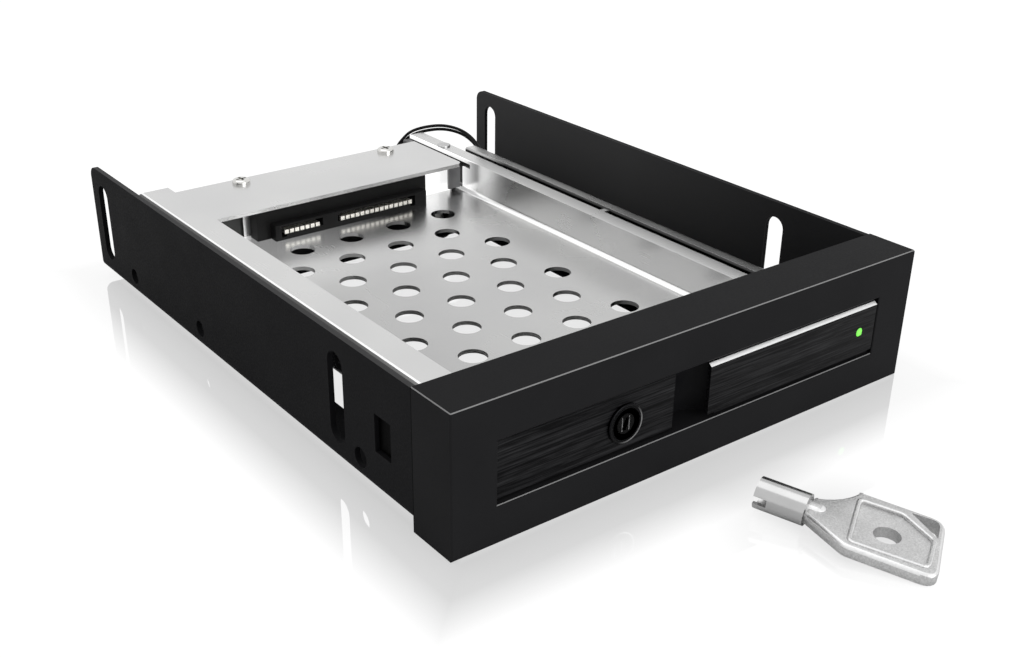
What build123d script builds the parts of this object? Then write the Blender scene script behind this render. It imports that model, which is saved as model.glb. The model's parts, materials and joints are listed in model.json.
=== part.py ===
from build123d import *
import os
from math import atan, cos, degrees, hypot, pi, radians, sin, tan

os.makedirs("parts", exist_ok=True)

# Mobile rack that holds one small drive in a wide drive bay.
# X runs across the bay, Y runs from the front to the back, Z is up.
# The origin is the centre of the bezel's underside.
# Names that end in offset are places in X counted from the middle of the drive,
# inset ones from the bay's left side, outset ones from its right side.

# Front bezel
bezel_width = 101.6
bezel_depth = 10.0
bezel_height = 25.0
bezel_wall = 2.0
bezel_bevel = 0.25
jamb_rim_share = 0.43
jamb_wall_share = 0.24
rib_offsets = (-20.0, 1.0, 21.0)
rib_thickness = 1.2
opening_left_inset = -2.0
opening_right_outset = 11.15
opening_bottom = 6.8
opening_top = 17.8

# Bracket that screws into the bay
bracket_sheet = 1.0
bracket_step = 0.45
bracket_length = 121.4
bracket_bottom = 1.95
bracket_top_drop = 0.1
bracket_bend = 1.6
rear_top_radius = 2.3
side_slot_width = 4.5
side_slot_length = 16.3
side_slot_height = 13.65
side_slot_places = (26.7, 120.9)
side_hole_radius = 1.6
side_hole_height = 5.9
side_hole_places = (77.7, 108.4)
front_hole_radius = 1.8
front_hole_place = 19.9
window_length = 4.55
window_height = 6.7
window_start = 10.75
window_bottom = 9.3
catch_setback = 0.7
base_border_left = 8.6
base_border_right = 24.15
base_border_front = 10.0
base_border_rear = 28.6
base_corner = 3.0

# Drive that the bay is made for, and the tray around it
drive_width = 69.85
drive_side_gap = 0.825
drive_offset = -4.425
tray_sheet = 0.8
tray_bend = 2.0
sharp_bend = 0.1
rail_bend = 1.0
tray_front_gap = 0.3
floor_top = 8.1
tray_top = 15.8
lip_width = 7.75
lip_rear = 128.3
right_wall_rear = 107.0
strip_width = 2.85
strip_rear = 129.4
bridge_front = 104.2
bridge_rear = 124.5
bridge_right_outset = -2.0
bridge_corner = 1.5
floor_rear = 109.4
back_plate_left_inset = 14.9
back_plate_right_outset = -2.15
board_ear_right_inset = 6.0
vent_radius = 2.75
vent_pitch_x = 12.05
vent_pitch_y = 10.25
vent_rows = 8
vents_in_row = 5
vent_centre_offset = -1.55
vent_last_y = 96.1

# Rail that closes the ejector channel on the right
rail_left_outset = -5.1
rail_right_outset = 8.4
rail_front = 16.0
rail_rear = 113.3
rail_base_rear = 119.0
hem_width = 3.0
hem_bend = 0.5
hem_drop = 4.3

# Ejector
rod_thickness = 1.2
rod_centre_outset = 3.8
rod_bottom = 7.7
rod_top = 13.4
rod_front = 3.9
rod_rear = 128.8
carriage_sheet = 0.6
carriage_top = 14.7
carriage_left_outset = -1.65
carriage_front = 115.0
carriage_rear = 129.9
finger_web = 0.5
finger_width = 3.2
finger_front = 106.4
finger_bottom = 9.2
eject_travel = 10.7
carriage_flange = (119.0, 128.4)
carriage_flange_bottom = 9.6
carriage_rivet_places = (121.4, 126.0)
carriage_rivet_height = 11.6
rivet_radius = 0.8
rivet_head_radius = 1.4
rivet_head_height = 0.3
rivet_gap = 0.05
post_outset = 1.8
post_y = 117.3
post_radius = 1.3
post_shoulder_radius = 1.0
post_head_radius = 1.6
post_head_height = 0.4
guide_places = (36.0, 92.0)
guide_length = 4.0
guide_top = 14.2
rod_keeper_place = 61.3
rod_keeper_length = 1.4
rod_keeper_reach = 1.3
running_gap = 0.1

# Door
door_gap = 0.3
door_right_outset = 10.8
door_back = -0.4
panel_front = -4.1
panel_thickness = 0.6
panel_right_offset = -1.85
grip_thickness = 0.7
grip_left_offset = 5.25
grip_bottom = 7.9
grip_top = 17.2
grip_chamfer_depth = 0.6
grip_chamfer_height = 0.5
hinge_outset = 9.2
hinge_y = -3.3
hinge_pin_radius = 0.6
hinge_pin_gap = 0.05
hinge_pin_reach = 3.6
hinge_pin_seat = 2.6
jamb_groove_radius = 2.55
scoop_offset = 2.85
scoop_y = -4.8
scoop_radius = 4.75
scoop_wall = 1.2
link_x = -5.4
link_y = 5.3
link_pin_radius = 0.8
link_slack = 0.4
fork_wall = 0.8
fork_bottom = 7.7
fork_height = 0.9
fork_front_reach = 0.5
fork_pocket_reach = (-9.3, -2.6)
ear_radius = 1.3
ear_bottom = 8.9
ear_height = 1.1

# Lock
lock_offset = -12.4
lock_z = 11.9
lock_flange_radius = 3.5
lock_flange_height = 0.5
lock_barrel_radius = 3.1
lock_barrel_gap = 0.1
lock_barrel_rear = 2.0
key_groove_outer = 2.75
core_post_radius = 1.75
core_gap = 0.05
nut_across_flats = 9.0
nut_thickness = 1.6
cam_reach = 7.5
cam_half_width = 1.8
cam_thickness = 1.0
cam_square = 2.4
keeper_bottom = 3.9
keeper_front = 1.8

# Lamp
lamp_outset = 6.85
lamp_z = 12.3
lamp_radius = 1.5
lamp_front = 0.5
lamp_rear = 4.0
light_pipe_radius = 0.85
lamp_ring_wall = 0.5

# Backplane and its sockets
board_left_inset = 1.6
board_right_outset = -5.4
board_bottom = 3.6
board_top = 14.6
board_thickness = 1.6
socket_left_offset = -19.15
socket_right_offset = 24.25
socket_top = 14.3
socket_front = 105.6
nose_front = 103.3
nose_left_offset = -15.95
nose_right_offset = 22.85
nose_top = 11.6
contact_pitch = 1.27
signal_contacts_left_offset = -13.25
power_contacts_left_offset = 0.72
signal_count = 7
power_count = 15
slot_bottom = 9.3
slot_top = 11.1
slot_rear = 108.3
slot_margin = 1.3
slot_key_width = 1.2
slot_key_drop = 0.6
contact_width = 0.95
contact_height = 0.9
contact_setback = 0.15
data_socket_offsets = (-28.85, -17.05)
power_socket_offsets = (-3.35, 19.25)
cable_socket_heights = (5.6, 11.4)
rear_socket_depth = 6.0
shroud_wall = 0.8
tongue_margin = 1.0
tongue_half = 0.6
tongue_end = 1.2
lead_plug_outsets = (-9.9, -6.9)
lead_plug_heights = (4.6, 7.9)
lead_plug_length = 5.0

# Fasteners and spacers
standoff_radius = 2.5
standoff_insets = ((9.6, 10.5), (9.6, 103.2))
standoff_outsets = ((-9.9, 10.5), (-9.9, 103.2))
bridge_post_insets = ((21.5, 121.7),)
bridge_post_outsets = ((-12.0, 121.7),)
screw_radius = 1.5
screw_head_radius = 2.75
bridge_screw_head_radius = 2.0
bridge_screw_head_height = 1.0
screw_hole_depth = 3.5
screw_gap = 0.05
screw_tip_gap = 0.3
board_screw_insets = ((3.2, 11.6),)
board_screw_outsets = ((-8.4, 11.6),)
board_screw_radius = 1.0
board_screw_head_radius = 1.8
board_screw_head_height = 1.1
board_screw_skin = 0.3
recess_width = 0.55
recess_share = 0.58
recess_depth = 0.6

# Two thin leads of the lamp
lead_diameter = 0.75
lead_step = (-0.2, 0.0, 0.96)

# Key, lying on the surface in front: it rests on the barrel's shoulder and the bow's far end
key_tip = (-4.05, -21.33)
key_turn = -68.0
barrel_radius = 2.6
barrel_bore = 1.95
barrel_bore_depth = 6.0
barrel_length = 8.0
notch_width = 1.3
notch_length = 2.2
boss_radius = 2.3
boss_length = 3.0
bow_thickness = 2.2
bow_upper_neck = (8.0, 2.5)
bow_upper_waist = (11.6, 5.0)
bow_upper_shoulder = (13.45, 8.4)
bow_far_upper = ((26.3, 8.5), (27.1, 6.7))
bow_far_lower = ((29.1, -4.5), (28.3, -6.6))
bow_lower_shoulder = (15.6, -6.8)
bow_lower_neck = (8.0, -2.3)
bow_bevel = 0.6
bow_foot_bevel = 0.3
bow_hole_place = (20.25, -0.2)
bow_hole_radius = 2.1
bow_window = ((22.6, 6.7), (25.9, 6.9), (26.4, 4.6))
bow_panel = ((14.3, 5.9), (20.8, 6.2), (26.4, 2.4), (27.3, -4.6), (16.2, -5.2))
bow_panel_depth = 0.3

# Places that follow from the sizes above
half_width = bezel_width / 2
front = -bezel_depth / 2
back = bezel_depth / 2
plate_left = -half_width
plate_right = half_width - bracket_step
bracket_width = plate_right - plate_left
plate_top = bezel_height - bracket_top_drop
plate_rear = back + bracket_length
base_top = bracket_bottom + bracket_sheet
drive_centre = (plate_left + plate_right) / 2 + drive_offset
bay_left = drive_centre - drive_width / 2 - drive_side_gap
bay_right = drive_centre + drive_width / 2 + drive_side_gap
tray_left = bay_left - tray_sheet
opening_left = bay_left + opening_left_inset
opening_right = bay_right + opening_right_outset
bridge_right = bay_right + bridge_right_outset
back_plate_left = bay_left + back_plate_left_inset
back_plate_right = bay_right + back_plate_right_outset
board_ear_right = bay_left + board_ear_right_inset
vent_centre_x = drive_centre + vent_centre_offset
rail_left = bay_right + rail_left_outset
rail_right = bay_right + rail_right_outset
rod_centre = bay_right + rod_centre_outset
carriage_left = bay_right + carriage_left_outset
post_x = bay_right + post_outset
door_right = bay_right + door_right_outset
panel_right = drive_centre + panel_right_offset
grip_left = drive_centre + grip_left_offset
hinge_x = bay_right + hinge_outset
scoop_x = drive_centre + scoop_offset
lock_x = drive_centre + lock_offset
lamp_x = bay_right + lamp_outset
board_left = bay_left + board_left_inset
board_right = bay_right + board_right_outset
socket_left = drive_centre + socket_left_offset
socket_right = drive_centre + socket_right_offset
nose_left = drive_centre + nose_left_offset
nose_right = drive_centre + nose_right_offset
signal_contacts_left = drive_centre + signal_contacts_left_offset
power_contacts_left = drive_centre + power_contacts_left_offset
data_socket_span = tuple(drive_centre + offset for offset in data_socket_offsets)
power_socket_span = tuple(drive_centre + offset for offset in power_socket_offsets)
lead_plug_span = tuple(bay_right + outset for outset in lead_plug_outsets)
standoff_places = (*[(bay_left + inset, place) for inset, place in standoff_insets],
    *[(bay_right + outset, place) for outset, place in standoff_outsets])
bridge_post_places = (*[(bay_left + inset, place) for inset, place in bridge_post_insets],
    *[(bay_right + outset, place) for outset, place in bridge_post_outsets])
board_screw_places = (*[(bay_left + inset, place) for inset, place in board_screw_insets],
    *[(bay_right + outset, place) for outset, place in board_screw_outsets])
floor_bottom = floor_top - tray_sheet
tray_front = back + tray_front_gap
under_top = tray_top - tray_sheet
strip_right = bay_right + tray_sheet + strip_width
rail_bottom = floor_bottom - tray_sheet
board_front = floor_rear
board_rear = board_front + board_thickness
door_left = opening_left + door_gap
door_bottom = opening_bottom + door_gap
door_top = opening_top - door_gap
panel_back = panel_front + panel_thickness
grip_back = front + grip_thickness
link_place = (hinge_x + link_x, hinge_y + link_y)
cam_front = lock_barrel_rear + core_gap * 2
cam_rear = cam_front + cam_thickness
wall_outside = bay_right + tray_sheet
rod_span = (rod_centre - rod_thickness / 2, rod_centre + rod_thickness / 2)
carriage_bottom = carriage_top - carriage_sheet
carriage_right = rod_span[1] + carriage_sheet
hem_left = rail_right - hem_width
notch_front = carriage_front - eject_travel - door_gap
back_plate_span = (floor_rear - tray_sheet, floor_rear)
window_centre = (window_start + window_length / 2, window_bottom + window_height / 2)


def middle(span):
    """Half way between two limits."""
    return (span[0] + span[1]) / 2


def size(span):
    """Distance between two limits."""
    return span[1] - span[0]


def slab(x_span, y_span, z_span, mode=Mode.ADD):
    """A block between three pairs of limits, added to or cut from the open part."""
    with BuildSketch(Plane.XY.offset(z_span[0])) as outline:
        with Locations((middle(x_span), middle(y_span))):
            Rectangle(size(x_span), size(y_span))
    extrude(outline.sketch, amount=size(z_span), mode=mode)


def upright(centre, radius, z_span, mode=Mode.ADD):
    """A round bar along Z, with its centre given as X and Y."""
    with BuildSketch(Plane.XY.offset(z_span[0])) as outline:
        with Locations(centre):
            Circle(radius)
    extrude(outline.sketch, amount=size(z_span), mode=mode)


def lengthways(centre, radius, y_span, mode=Mode.ADD):
    """A round bar along Y, with its centre given as X and Z."""
    with BuildSketch(Plane.XZ.offset(-y_span[1])) as outline:
        with Locations(centre):
            Circle(radius)
    extrude(outline.sketch, amount=size(y_span), mode=mode)


def crossways(centre, radius, x_span, mode=Mode.ADD):
    """A round bar along X, with its centre given as Y and Z."""
    with BuildSketch(Plane.YZ.offset(x_span[0])) as outline:
        with Locations(centre):
            Circle(radius)
    extrude(outline.sketch, amount=size(x_span), mode=mode)


def bent_sheet(points, bend, thickness, side, y_span):
    """A folded sheet: a bent line in the XZ plane, thickened to one side and run along Y."""
    with BuildSketch(Plane.XZ.offset(-y_span[1])) as profile:
        with BuildLine():
            FilletPolyline(*points, radius=bend)
            offset(amount=thickness, side=side)
        make_face()
    extrude(profile.sketch, amount=size(y_span))


def finish(builder, name):
    """Names a piece and writes it."""
    builder.part.label = name
    export_step(builder.part, f"parts/{name}.step")


# Bay bracket: a base plate with a window and two slotted sides, folded from one sheet
with BuildPart() as bay_bracket:
    with BuildSketch(Plane.XZ.offset(-plate_rear)) as bracket_profile:
        with BuildLine():
            Polyline(
                (plate_left, plate_top), (plate_left, bracket_bottom),
                (plate_right, bracket_bottom), (plate_right, plate_top),
                (plate_right - bracket_sheet, plate_top), (plate_right - bracket_sheet, base_top),
                (plate_left + bracket_sheet, base_top), (plate_left + bracket_sheet, plate_top),
                close=True,
            )
        make_face()
        outer_bends = bracket_profile.vertices().group_by(Axis.Y)[0]
        fillet(outer_bends, radius=bracket_bend)
    extrude(amount=bracket_length)
    inner_bends = bay_bracket.edges().filter_by(Axis.Y).filter_by(
        lambda edge: abs(edge.center().Z - base_top) < 0.01
    )
    fillet(inner_bends, radius=bracket_bend - bracket_sheet)
    window_left = plate_left + base_border_left
    window_right = plate_right - base_border_right
    with BuildSketch(Plane.XY.offset(bracket_bottom)) as base_window:
        with Locations((
            middle((window_left, window_right)),
            middle((back + base_border_front, plate_rear - base_border_rear)),
        )):
            RectangleRounded(
                window_right - window_left,
                bracket_length - base_border_front - base_border_rear,
                base_corner,
            )
    extrude(amount=bracket_sheet, mode=Mode.SUBTRACT)
    with BuildSketch(Plane.YZ.offset(plate_left)) as side_cuts:
        with Locations(*[(place, side_slot_height) for place in side_slot_places]):
            SlotOverall(side_slot_length, side_slot_width, rotation=90)
        with Locations(*[(place, side_hole_height) for place in side_hole_places]):
            Circle(side_hole_radius)
        with Locations((front_hole_place, side_hole_height)):
            Circle(front_hole_radius)
        with Locations(window_centre):
            Rectangle(window_length, window_height)
    extrude(amount=bracket_width, mode=Mode.SUBTRACT)
    rear_edges = bay_bracket.edges().filter_by(Axis.X).group_by(Axis.Y)[-1]
    fillet(rear_edges.group_by(Axis.Z)[-1], radius=rear_top_radius)
    for place in standoff_places + bridge_post_places:
        upright(place, screw_radius, (bracket_bottom, base_top), Mode.SUBTRACT)
finish(bay_bracket, "bay_bracket")


# Front bezel: a moulded frame, hollow from behind, with a snap ear inside each bracket side
def bezel_pocket(x_span, z_span):
    """A hollow in the back of the bezel, behind its front wall."""
    slab(x_span, (front + bezel_wall, back), z_span, Mode.SUBTRACT)


def snap_ear(x_plate, x_tip):
    """An ear along the inside of a bracket side, with a catch that fills the side's window."""
    ear_gap = 0.25
    ear_length = 11.8
    ear_margin = 0.3
    ear_bottom_z = window_bottom - ear_margin
    ear_top_z = window_bottom + window_height + ear_margin
    slab((min(x_plate), max(x_plate)), (back, back + ear_length), (ear_bottom_z, ear_top_z))
    slab(
        (min(x_tip, x_plate[0]), max(x_tip, x_plate[0])),
        (window_start + ear_gap, window_start + window_length - ear_gap),
        (window_bottom + ear_gap, window_bottom + window_height - ear_gap),
    )


with BuildPart() as front_bezel:
    slab((-half_width, half_width), (front, back), (0, bezel_height))
    top_sides = front_bezel.edges().filter_by(Axis.Y).group_by(Axis.Z)[-1]
    chamfer(front_bezel.edges().group_by(Axis.Y)[0] + top_sides, length=bezel_bevel)
    slab((opening_left, opening_right), (front, back), (opening_bottom, opening_top), Mode.SUBTRACT)
    opening_rim = front_bezel.edges().group_by(Axis.Y)[0].filter_by(
        lambda edge: abs(edge.center().X) < half_width - bezel_wall
        and bezel_wall < edge.center().Z < bezel_height - bezel_wall
    )
    chamfer(opening_rim, length=bezel_bevel)
    ribs = [drive_centre + offset for offset in rib_offsets]
    pocket_limits = (-half_width + bezel_wall, *ribs, half_width - 7 * bezel_wall)
    for pocket_left, pocket_right in zip(pocket_limits[:-1], pocket_limits[1:]):
        pocket_span = (pocket_left + rib_thickness / 2, pocket_right - rib_thickness / 2)
        bezel_pocket(pocket_span, (opening_top + bezel_wall, bezel_height - bezel_wall))
        bezel_pocket(pocket_span, (bezel_wall, opening_bottom - bezel_wall))
    left_jamb = opening_left + half_width
    right_jamb = half_width - opening_right
    bezel_pocket((-half_width + jamb_rim_share * left_jamb, opening_left - jamb_wall_share * left_jamb),
                 (bezel_wall, opening_top))
    bezel_pocket((opening_right + jamb_wall_share * right_jamb, half_width - jamb_rim_share * right_jamb),
                 (bezel_wall, opening_top))
    slab(
        (lock_x - cam_half_width - 1.0, lock_x + cam_reach + 1.0),
        (keeper_front, back), (keeper_bottom, opening_bottom), Mode.SUBTRACT,
    )
    upright((hinge_x, hinge_y), jamb_groove_radius, (opening_bottom, opening_top), Mode.SUBTRACT)
    pin_span = (opening_bottom - hinge_pin_seat, opening_top + hinge_pin_seat)
    upright((hinge_x, hinge_y), hinge_pin_radius, pin_span, Mode.SUBTRACT)
    plate_gap = 0.2
    left_ear = (plate_left + bracket_sheet + plate_gap, plate_left + bracket_sheet + plate_gap + 1.4)
    right_ear = (plate_right - bracket_sheet - plate_gap, plate_right - bracket_sheet - plate_gap - 1.4)
    snap_ear(left_ear, plate_left + catch_setback)
    snap_ear(right_ear, plate_right - catch_setback)
    ring_radius = lamp_radius + lamp_ring_wall
    slab((lamp_x, opening_right), (lamp_front, lamp_rear), (lamp_z - 1.0, lamp_z + 1.0))
    lengthways((lamp_x, lamp_z), ring_radius, (lamp_front, lamp_rear))
    lengthways((lamp_x, lamp_z), lamp_radius, (lamp_front, lamp_rear), Mode.SUBTRACT)
finish(front_bezel, "front_bezel")

# Hinge pins pressed into the bezel above and below the opening
with BuildPart() as hinge_pins:
    upright((hinge_x, hinge_y), hinge_pin_radius,
            (opening_bottom - hinge_pin_seat, door_bottom + hinge_pin_reach))
    upright((hinge_x, hinge_y), hinge_pin_radius,
            (door_top - hinge_pin_reach, opening_top + hinge_pin_seat))
finish(hinge_pins, "hinge_pins")

# Door body: moulded panel with a finger scoop, lock boss, hinge bores and the ejector's crank ear
with BuildPart() as door_body:
    slab((door_left, panel_right), (panel_back, door_back), (door_bottom, door_top))
    slab((panel_right, door_right), (grip_back, door_back), (door_bottom, door_top))
    upright((scoop_x, scoop_y), scoop_radius + scoop_wall, (door_bottom, door_top))
    bulge_front = scoop_y - scoop_radius - scoop_wall
    slab((door_left, door_right), (bulge_front, grip_back), (door_bottom, door_top), Mode.SUBTRACT)
    slab((door_left, panel_right), (bulge_front, panel_back), (door_bottom, door_top), Mode.SUBTRACT)
    upright((scoop_x, scoop_y), scoop_radius, (door_bottom, door_top), Mode.SUBTRACT)
    ear_root = (link_place[0] - ear_radius, link_place[0] + ear_radius)
    slab(ear_root, (door_back, link_place[1]), (ear_bottom, ear_bottom + ear_height))
    upright(link_place, ear_radius, (ear_bottom, ear_bottom + ear_height))
    upright(link_place, link_pin_radius, (fork_bottom, ear_bottom))
    pocket_depth = 1.8
    slab([hinge_x + reach for reach in fork_pocket_reach], (door_back - pocket_depth, door_back),
         (fork_bottom - door_gap, fork_bottom + fork_height + door_gap), Mode.SUBTRACT)
    lengthways((lock_x, lock_z), lock_barrel_radius + lock_barrel_gap, (front, back), Mode.SUBTRACT)
    lengthways((lamp_x, lamp_z), light_pipe_radius, (front, back), Mode.SUBTRACT)
    bore_radius = hinge_pin_radius + hinge_pin_gap
    bore_depth = hinge_pin_reach + 0.3
    upright((hinge_x, hinge_y), bore_radius, (door_bottom, door_bottom + bore_depth), Mode.SUBTRACT)
    upright((hinge_x, hinge_y), bore_radius, (door_top - bore_depth, door_top), Mode.SUBTRACT)
finish(door_body, "door_body")

# Brushed plate round the lock, set back behind the bezel's face
panel_margin = 0.25
with BuildPart() as lock_panel:
    slab((door_left, panel_right), (panel_front, panel_back),
         (door_bottom + panel_margin, door_top - panel_margin))
    lengthways((lock_x, lock_z), lock_barrel_radius + lock_barrel_gap, (front, back), Mode.SUBTRACT)
finish(lock_panel, "lock_panel")

# Brushed grip plate over the finger scoop, with a cut along its top edge
with BuildPart() as grip_plate:
    slab((grip_left, door_right), (front, grip_back), (grip_bottom, grip_top))
    top_edge = grip_plate.edges().filter_by(Axis.X).group_by(Axis.Y)[0].sort_by(Axis.Z)[-1]
    chamfer(top_edge, length=grip_chamfer_height, length2=grip_chamfer_depth)
    lengthways((lamp_x, lamp_z), light_pipe_radius, (front, back), Mode.SUBTRACT)
finish(grip_plate, "grip_plate")

# Clear pipe that carries the lamp's light to the front
with BuildPart() as light_pipe:
    lengthways((lamp_x, lamp_z), light_pipe_radius, (front, door_back))
    fillet(light_pipe.edges().group_by(Axis.Y)[0], radius=0.2)
finish(light_pipe, "light_pipe")

# Lamp: a domed body with a collar, held in the bezel's ring
with BuildPart() as lamp:
    lengthways((lamp_x, lamp_z), lamp_radius, (lamp_front + 0.2, lamp_rear))
    fillet(lamp.edges().group_by(Axis.Y)[0], radius=1.2)
    lengthways((lamp_x, lamp_z), lamp_radius + 0.3, (lamp_rear, lamp_rear + 0.6))
finish(lamp, "lamp")

# Lock barrel: flange against the panel, stepped bore for the turning core
with BuildPart() as lock_body:
    lengthways((lock_x, lock_z), lock_flange_radius,
               (panel_front - lock_flange_height, panel_front))
    fillet(lock_body.edges().group_by(Axis.Y)[0], radius=0.2)
    lengthways((lock_x, lock_z), lock_barrel_radius, (panel_front, lock_barrel_rear))
    core_disc = (-1.6, lock_barrel_rear - 0.6)
    lengthways((lock_x, lock_z), key_groove_outer, (front, core_disc[1] + core_gap), Mode.SUBTRACT)
    lengthways((lock_x, lock_z), core_post_radius + core_gap, (core_disc[1], back), Mode.SUBTRACT)
finish(lock_body, "lock_body")

# Turning core: centre post with a keyway, a disc inside the barrel and a square tail
with BuildPart() as lock_core:
    lengthways((lock_x, lock_z), key_groove_outer - core_gap, core_disc)
    lengthways((lock_x, lock_z), core_post_radius, (panel_front - 0.3, core_disc[0]))
    lengthways((lock_x, lock_z), core_post_radius, (core_disc[1], cam_front))
    tail_half = cam_square / 2
    slab((lock_x - tail_half, lock_x + tail_half), (cam_front, cam_rear),
         (lock_z - tail_half, lock_z + tail_half))
    with BuildSketch(Plane.XZ.offset(-(panel_front - 0.3))) as keyway:
        with Locations((lock_x, lock_z)):
            Rectangle(0.9, 2.2, rotation=-20)
    extrude(keyway.sketch, amount=-1.2, mode=Mode.SUBTRACT)
finish(lock_core, "lock_core")

# Hexagon nut that clamps the barrel to the door
with BuildPart() as lock_nut:
    with BuildSketch(Plane.XZ.offset(-(door_back + nut_thickness))) as nut_outline:
        with Locations((lock_x, lock_z)):
            RegularPolygon(nut_across_flats / 2, 6, major_radius=False)
            Circle(lock_barrel_radius, mode=Mode.SUBTRACT)
    extrude(amount=nut_thickness)
finish(lock_nut, "lock_nut")

# Cam behind the lock: turned down, it reaches behind the bezel's sill
with BuildPart() as lock_cam:
    with BuildSketch(Plane.XZ.offset(-cam_rear)) as cam_outline:
        with BuildLine():
            cam_end = lock_x + cam_reach - cam_half_width
            Line((lock_x, lock_z + cam_half_width), (cam_end, lock_z + cam_half_width))
            ThreePointArc((cam_end, lock_z + cam_half_width), (lock_x + cam_reach, lock_z),
                          (cam_end, lock_z - cam_half_width))
            Line((cam_end, lock_z - cam_half_width), (lock_x, lock_z - cam_half_width))
            ThreePointArc((lock_x, lock_z - cam_half_width), (lock_x - cam_half_width, lock_z),
                          (lock_x, lock_z + cam_half_width))
        make_face()
        with Locations((lock_x, lock_z)):
            Rectangle(cam_square, cam_square, mode=Mode.SUBTRACT)
    extrude(amount=cam_thickness)
finish(lock_cam, "lock_cam")

# Screw that holds the cam on the core's tail
with BuildPart() as cam_screw:
    lengthways((lock_x, lock_z), 1.7, (cam_rear, cam_rear + 0.8))
    fillet(cam_screw.edges().group_by(Axis.Y)[-1], radius=0.4)
finish(cam_screw, "cam_screw")

# Drive tray: lip, left side, vented floor, right side and top strip bent from one sheet
with BuildPart() as drive_tray:
    bent_sheet(
        [
            (tray_left + lip_width, tray_top), (tray_left, tray_top),
            (tray_left, floor_bottom), (wall_outside, floor_bottom),
            (wall_outside, under_top), (strip_right, under_top),
        ],
        [tray_bend, tray_bend, tray_bend, sharp_bend], tray_sheet,
        Side.LEFT, (tray_front, strip_rear),
    )
    slab((bay_right, wall_outside), (tray_front, strip_rear), (under_top, tray_top))
    slab((tray_left, tray_left + lip_width), (lip_rear, strip_rear),
         (floor_bottom, tray_top), Mode.SUBTRACT)
    floor_end = (floor_rear, strip_rear)
    slab((bay_left, strip_right), floor_end, (floor_bottom, floor_top), Mode.SUBTRACT)
    wall_span = (bay_right - tray_bend, wall_outside)
    slab((bay_right - running_gap, wall_outside), (right_wall_rear, strip_rear),
         (floor_bottom, under_top), Mode.SUBTRACT)
    slab(wall_span, floor_end, (floor_bottom, under_top), Mode.SUBTRACT)
    slab((bay_right - running_gap, wall_outside), (notch_front, right_wall_rear),
         (carriage_bottom - door_gap, under_top), Mode.SUBTRACT)
    with BuildSketch(Plane.XY.offset(floor_bottom)) as vents:
        for row in range(vent_rows):
            with Locations((vent_centre_x, vent_last_y - row * vent_pitch_y)):
                with GridLocations(vent_pitch_x, vent_pitch_y, vents_in_row - row % 2, 1):
                    Circle(vent_radius)
    extrude(amount=tray_sheet, mode=Mode.SUBTRACT)
    bridge_left = tray_left + lip_width - tray_sheet
    with BuildSketch(Plane.XY.offset(under_top)) as bridge:
        with Locations((middle((bridge_left, bridge_right)), middle((bridge_front, bridge_rear)))):
            Rectangle(bridge_right - bridge_left, bridge_rear - bridge_front)
        fillet(bridge.vertices().group_by(Axis.X)[-1].sort_by(Axis.Y)[0], radius=bridge_corner)
    extrude(amount=tray_sheet)
    for place in bridge_post_places:
        upright(place, screw_radius, (under_top, tray_top), Mode.SUBTRACT)
    slab((back_plate_left, back_plate_right), back_plate_span, (floor_bottom, under_top))
    slab((socket_left - running_gap, socket_right + running_gap), back_plate_span,
         (floor_top, socket_top + running_gap), Mode.SUBTRACT)
    slab((bay_left, board_ear_right), back_plate_span, (floor_top, under_top))
    for place in board_screw_places:
        lengthways(place, board_screw_radius, (back_plate_span[0] + board_screw_skin, floor_rear),
                   Mode.SUBTRACT)
    upright((post_x, post_y), post_shoulder_radius + rivet_gap, (under_top, tray_top),
            Mode.SUBTRACT)
    keeper_span = (rod_keeper_place - rod_keeper_length / 2, rod_keeper_place + rod_keeper_length / 2)
    slab((strip_right - tray_sheet, strip_right + rod_keeper_reach), keeper_span,
         (under_top, tray_top))
finish(drive_tray, "drive_tray")

# Rail under and beside the tray: closes the ejector's channel, its top edge rolled into a hem
with BuildPart() as eject_rail:
    bent_sheet(
        [
            (rail_left, rail_bottom), (rail_right, rail_bottom), (rail_right, tray_top),
            (hem_left, tray_top), (hem_left, tray_top - hem_drop),
        ],
        [rail_bend, hem_bend, hem_bend], tray_sheet, Side.RIGHT, (rail_front, rail_rear),
    )
    slab((rail_left, rail_right - rail_bend), (rail_rear, rail_base_rear), (rail_bottom, floor_bottom))
finish(eject_rail, "eject_rail")

# Two guides that keep the ejector rod upright in its channel
with BuildPart() as rod_guides:
    rod_room = (rod_span[0] - running_gap, rod_span[1] + running_gap)
    for start in guide_places:
        guide_span = (start, start + guide_length)
        slab((wall_outside, hem_left), guide_span, (floor_bottom, guide_top))
        slab(rod_room, guide_span, (rod_bottom - running_gap, guide_top), Mode.SUBTRACT)
finish(rod_guides, "rod_guides")

# Ejector rod: a flat bar on edge, with a fork in front that the door's crank pin moves
with BuildPart() as eject_rod:
    slab(rod_span, (rod_front, rod_rear), (rod_bottom, rod_top))
    slab(rod_span, (carriage_front, rod_rear), (rod_top, carriage_bottom))
    fork_z = (fork_bottom, fork_bottom + fork_height)
    fork_inner = link_pin_radius + link_slack
    fork_outer = fork_inner + fork_wall
    fork_left = hinge_x - hypot(link_x, link_y) - link_pin_radius - door_gap - fork_wall
    fork_front = link_place[1] - fork_outer
    fork_rear = link_place[1] + fork_outer
    slab((fork_left, rod_span[1] + fork_front_reach), (fork_front, fork_front + fork_wall), fork_z)
    slab((fork_left, rod_span[1]), (fork_rear - fork_wall, fork_rear), fork_z)
    slab((fork_left, fork_left + fork_wall), (fork_front, fork_rear), fork_z)
    for place in carriage_rivet_places:
        crossways((place, carriage_rivet_height), rivet_radius + rivet_gap, rod_span, Mode.SUBTRACT)
finish(eject_rod, "eject_rod")

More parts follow.
